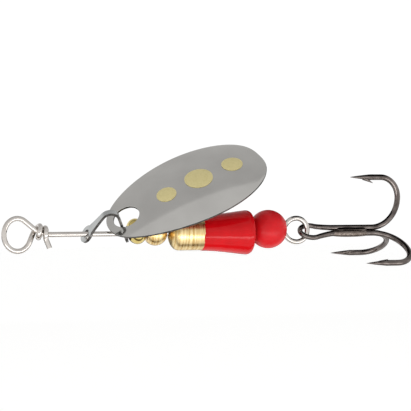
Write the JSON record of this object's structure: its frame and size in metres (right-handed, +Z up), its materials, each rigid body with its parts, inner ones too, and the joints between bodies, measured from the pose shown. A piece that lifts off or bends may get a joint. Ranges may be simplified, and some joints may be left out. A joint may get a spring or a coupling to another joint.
{
  "type": "inline spinner fishing lure",
  "caption": "Inline spinner: domed teardrop blade on a clevis, brass beads and bell body with red enamel on a wire shaft, red bead and treble hook.",
  "frame": {"origin": "centre of the line-tie ring, on the shaft's axis", "axes": "+X along the shaft from the line tie to the hook, +Z up with the blade's tail on the upper side"},
  "size_m": [0.0636, 0.0157, 0.0194],
  "materials": {
    "shaft_wire": "bright drawn stainless wire",
    "clevis": "polished nickel plate on folded strip",
    "blade": "polished nickel plate on stamped sheet",
    "spot_front": "matte pale gold foil",
    "spot_middle": "matte pale gold foil",
    "spot_rear": "matte pale gold foil",
    "spacer_bead": "polished",
    "nose_bead": "satin, turned",
    "body": "circumferentially brushed, turned",
    "enamel": "gloss red enamel",
    "red_bead": "semi-gloss moulded bead",
    "hook_double": "black nickel plate on formed wire",
    "hook_single": "black nickel plate on formed wire",
    "braze": "bright braze under plate"
  },
  "bodies": {
    "shaft": {"shaft_wire": "shaft_wire"},
    "bead_train": {"red_bead": "red_bead"},
    "body": {"body": "body", "enamel": "enamel"},
    "nose": {"nose_bead": "nose_bead"},
    "clevis": {"clevis": "clevis"},
    "spacer": {"spacer_bead": "spacer_bead"},
    "blade": {"blade": "blade", "spot_front": "spot_front", "spot_middle": "spot_middle", "spot_rear": "spot_rear"},
    "treble_hook": {"hook_double": "hook_double", "hook_single": "hook_single", "braze": "braze"}
  },
  "joints": [
    {"name": "train_slide", "type": "slide", "parent": "shaft", "child": "bead_train", "axis": [1, 0, 0], "range_m": [-0.0042, 0]},
    {"name": "body_spin", "type": "hinge", "parent": "bead_train", "child": "body", "pos_m": [0.0295, 0, 0], "axis": [1, 0, 0], "continuous": true},
    {"name": "nose_spin", "type": "hinge", "parent": "bead_train", "child": "nose", "pos_m": [0.02084, 0, 0], "axis": [1, 0, 0], "continuous": true},
    {"name": "clevis_spin", "type": "hinge", "parent": "bead_train", "child": "clevis", "pos_m": [0.01355, 0, 0], "axis": [1, 0, 0], "continuous": true},
    {"name": "spacer_spin", "type": "hinge", "parent": "clevis", "child": "spacer", "pos_m": [0.01793, 0, 0.00035], "axis": [0.9703, 0, 0.2419], "continuous": true},
    {"name": "blade_swing", "type": "hinge", "parent": "clevis", "child": "blade", "pos_m": [0.0144, -0.00122, 0.00146], "axis": [0, -0.766, -0.6428], "range_deg": [-11, 45]},
    {"name": "hook_swing", "type": "hinge", "parent": "shaft", "child": "treble_hook", "pos_m": [0.04366, 0, 0.00027], "axis": [0, 1, 0], "range_deg": [-60, 60]}
  ]
}
